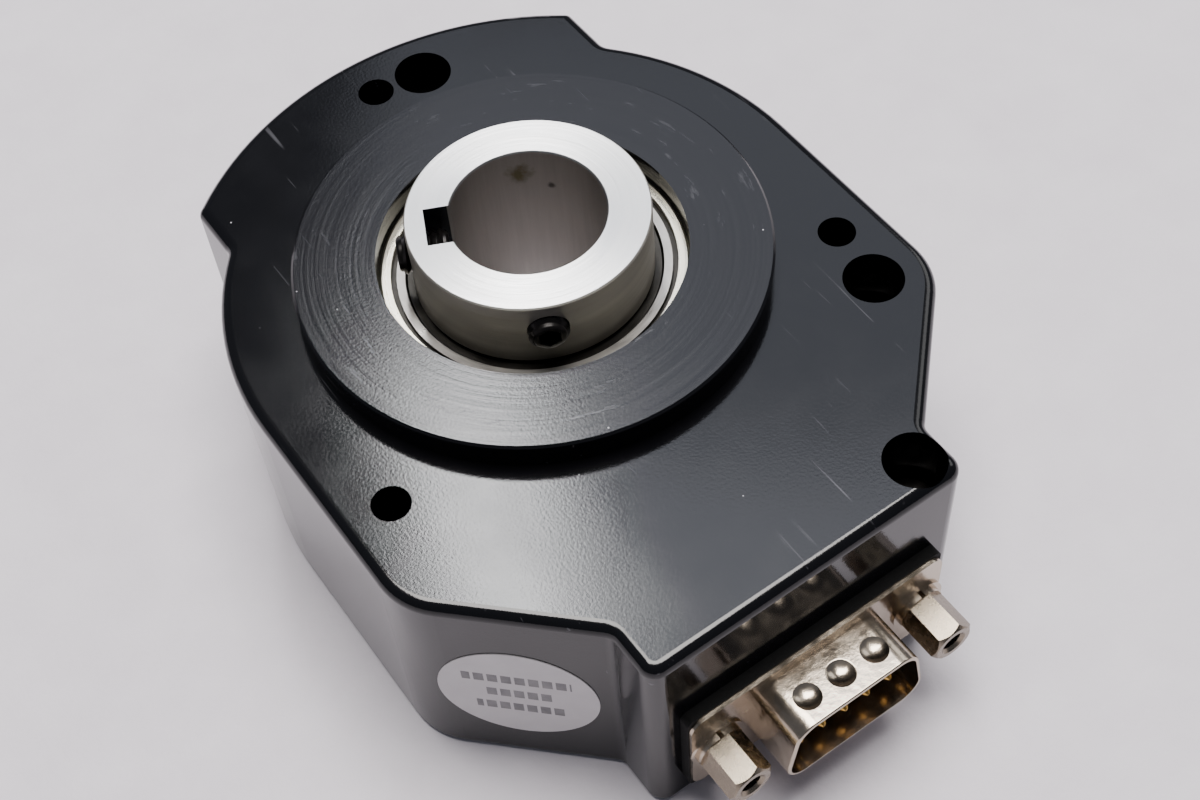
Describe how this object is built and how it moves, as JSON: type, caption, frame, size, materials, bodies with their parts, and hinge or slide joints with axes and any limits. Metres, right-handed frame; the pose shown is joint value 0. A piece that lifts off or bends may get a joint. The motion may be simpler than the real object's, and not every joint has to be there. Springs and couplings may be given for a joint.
{
  "type": "rotary encoder",
  "caption": "Hollow-shaft rotary encoder in a flat black case with a round pilot boss, an aluminium clamping collar with keyway, and a D connector with jack standoffs.",
  "frame": {"origin": "on the axis of the shaft's bore, level with the top of the round boss", "axes": "+Z along the bore out of the front, -Y out of the connector, +X to the right seen from the front with the connector down"},
  "size_m": [0.065, 0.09, 0.0364],
  "materials": {
    "case_plastic": "black glass-filled nylon, moulded, satin front and glossy sides",
    "seal_rubber": "black nitrile rubber",
    "black_screw": "black-oxide alloy steel",
    "seal_paper": "white vinyl seal",
    "turned_aluminium": "bare turned aluminium",
    "spring_steel": "spring steel",
    "plated_steel": "bright nickel plate",
    "contact_plastic": "black thermoplastic",
    "contact_gold": "gold-plated",
    "bearing_steel": "ground bearing steel",
    "cage_steel": "pressed steel",
    "disc_glass": "clear glass with a printed track",
    "lamp_epoxy": "dark clear epoxy",
    "board_laminate": "green glass-epoxy laminate",
    "board_ceramic": "ceramic"
  },
  "bodies": {
    "case": {"front_housing": "case_plastic", "rear_cover": "case_plastic", "housing_gasket": "seal_rubber", "housing_screws": "black_screw", "seal_label": "seal_paper", "preload_spring": "spring_steel", "connector_shell": "plated_steel", "connector_insulator": "contact_plastic", "connector_pins": "contact_gold", "connector_gasket": "seal_rubber", "jack_standoffs": "plated_steel", "flat_washers": "plated_steel", "lock_washers": "plated_steel", "lamp_holder": "contact_plastic", "lamp": "lamp_epoxy", "lamp_leads": "plated_steel", "light_sensor": "contact_plastic", "mask_plate": "plated_steel", "circuit_board": "board_laminate", "board_screws": "plated_steel", "line_driver_chip": "contact_plastic", "board_parts": "board_ceramic", "front_outer_ring": "bearing_steel", "front_shields": "cage_steel", "rear_outer_ring": "bearing_steel", "rear_shields": "cage_steel"},
    "shaft": {"hollow_shaft": "turned_aluminium", "shaft_retaining_ring": "spring_steel", "spacer_sleeve": "turned_aluminium", "disc_hub": "turned_aluminium", "code_disc": "disc_glass", "disc_clamp_ring": "turned_aluminium", "front_inner_ring": "bearing_steel", "rear_inner_ring": "bearing_steel"},
    "front_ball_set": {"front_balls": "bearing_steel", "front_cage": "cage_steel"},
    "rear_ball_set": {"rear_balls": "bearing_steel", "rear_cage": "cage_steel"},
    "key_screw": {"key_set_screw": "black_screw"},
    "side_screw": {"side_set_screw": "black_screw"}
  },
  "joints": [
    {"name": "shaft_spin", "type": "hinge", "parent": "case", "child": "shaft", "pos_m": [0, 0, 0], "axis": [0, 0, 1], "continuous": true},
    {"name": "front_ball_spin", "type": "hinge", "parent": "case", "child": "front_ball_set", "pos_m": [0, 0, -0.0062], "axis": [0, 0, 1], "continuous": true},
    {"name": "rear_ball_spin", "type": "hinge", "parent": "case", "child": "rear_ball_set", "pos_m": [0, 0, -0.0247], "axis": [0, 0, 1], "continuous": true},
    {"name": "key_screw_travel", "type": "slide", "parent": "shaft", "child": "key_screw", "axis": [-0.8988, 0.4384, 0], "range_m": [-0.0004, 0.0014]},
    {"name": "side_screw_travel", "type": "slide", "parent": "shaft", "child": "side_screw", "axis": [-0.4384, -0.8988, 0], "range_m": [-0.0004, 0.0014]}
  ],
  "couplings": [
    {"joint": "front_ball_spin", "follows": "shaft_spin", "ratio": 0.43269},
    {"joint": "rear_ball_spin", "follows": "shaft_spin", "ratio": 0.43269}
  ]
}
